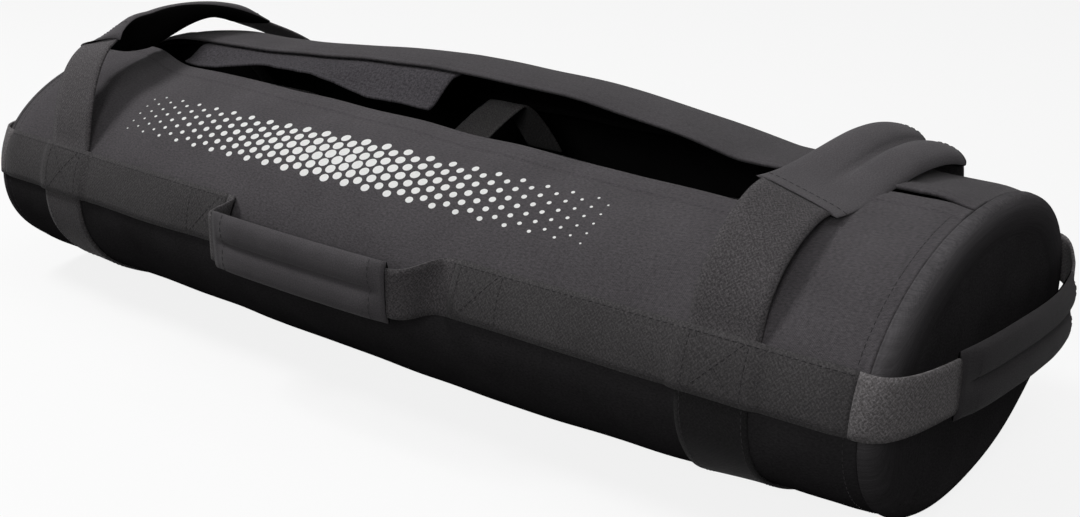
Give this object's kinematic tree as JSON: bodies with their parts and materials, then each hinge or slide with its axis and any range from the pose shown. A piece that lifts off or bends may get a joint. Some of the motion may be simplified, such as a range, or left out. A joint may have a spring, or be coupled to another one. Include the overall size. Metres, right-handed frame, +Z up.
{
  "type": "sandbag trainer",
  "caption": "Filled black fabric sandbag for strength training: soft rounded bag with padded webbing handles on top, sides and ends, and a lengthwise mouth with a flap over filler bags.",
  "frame": {"origin": "on the floor plane, under the middle of the bag", "axes": "+X along the bag to the end whose top handle leans over, +Y to the side where the flap is sewn on, +Z up"},
  "size_m": [0.7818, 0.3392, 0.2098],
  "materials": {
    "bag_fabric": "matt coated woven polyester",
    "webbing": "coarse matt webbing",
    "sleeve_fabric": "matt woven fabric over foam",
    "hook_and_loop": "fuzzy matt hook-and-loop tape",
    "filler_fabric": "thin satin woven fabric",
    "sand": "loose dry grains"
  },
  "bodies": {
    "bag": {"shell_body": "bag_fabric", "hook_tape": "hook_and_loop", "end_panel_left": "bag_fabric", "end_binding_left": "webbing", "girth_strap_left": "webbing", "belt_front_left": "webbing", "belt_back_left": "webbing", "end_panel_right": "bag_fabric", "end_binding_right": "webbing", "girth_strap_right": "webbing", "belt_front_right": "webbing", "belt_back_right": "webbing", "filler_1_skin": "filler_fabric", "sand_fill_1": "sand", "filler_1_mouth_tape": "hook_and_loop", "filler_1_pull_strap": "webbing", "filler_2_skin": "filler_fabric", "sand_fill_2": "sand", "filler_2_mouth_tape": "hook_and_loop", "filler_2_pull_strap": "webbing", "filler_3_skin": "filler_fabric", "sand_fill_3": "sand", "filler_3_mouth_tape": "hook_and_loop", "filler_3_pull_strap": "webbing"},
    "top_handle_left": {"top_handle_left_webbing": "webbing", "top_handle_left_sleeve": "sleeve_fabric"},
    "top_handle_right": {"top_handle_right_webbing": "webbing", "top_handle_right_sleeve": "sleeve_fabric"},
    "front_handle": {"front_handle_webbing": "webbing", "front_handle_sleeve": "sleeve_fabric"},
    "back_handle": {"back_handle_webbing": "webbing", "back_handle_sleeve": "sleeve_fabric"},
    "end_handle_left": {"end_handle_left_webbing": "webbing", "end_handle_left_sleeve": "sleeve_fabric"},
    "end_handle_right": {"end_handle_right_webbing": "webbing", "end_handle_right_sleeve": "sleeve_fabric"},
    "flap": {"closure_flap": "bag_fabric", "loop_tongue": "hook_and_loop"}
  },
  "joints": [
    {"name": "flap_fold", "type": "hinge", "parent": "bag", "child": "flap", "pos_m": [0, 0.1083, 0.14034], "axis": [-1, 0, 0], "range_deg": [-3, 70], "stiffness_Nm_per_rad": 1},
    {"name": "top_handle_left_bend", "type": "hinge", "parent": "bag", "child": "top_handle_left", "pos_m": [-0.272, 0, 0.1208], "axis": [0, 1, 0], "range_deg": [-17, 23], "stiffness_Nm_per_rad": 0.4, "deforming": ["top_handle_left_webbing"]},
    {"name": "top_handle_right_bend", "type": "hinge", "parent": "bag", "child": "top_handle_right", "pos_m": [0.272, 0, 0.12077], "axis": [0, 1, 0], "range_deg": [-25, 2], "stiffness_Nm_per_rad": 0.4, "deforming": ["top_handle_right_webbing"]},
    {"name": "front_handle_bend", "type": "hinge", "parent": "bag", "child": "front_handle", "pos_m": [0, -0.1347, 0.10262], "axis": [-1, 0, 0], "range_deg": [-45, 60], "stiffness_Nm_per_rad": 0.3, "deforming": ["front_handle_webbing"]},
    {"name": "back_handle_bend", "type": "hinge", "parent": "bag", "child": "back_handle", "pos_m": [0, 0.1347, 0.10262], "axis": [1, 0, 0], "range_deg": [-45, 60], "stiffness_Nm_per_rad": 0.3, "deforming": ["back_handle_webbing"]},
    {"name": "end_handle_left_bend", "type": "hinge", "parent": "bag", "child": "end_handle_left", "pos_m": [-0.346, 0, 0.10262], "axis": [0, 1, 0], "range_deg": [-28, 34], "stiffness_Nm_per_rad": 0.3, "deforming": ["end_handle_left_webbing"]},
    {"name": "end_handle_right_bend", "type": "hinge", "parent": "bag", "child": "end_handle_right", "pos_m": [0.346, 0, 0.10272], "axis": [0, -1, 0], "range_deg": [-28, 34], "stiffness_Nm_per_rad": 0.3, "deforming": ["end_handle_right_webbing"]}
  ]
}
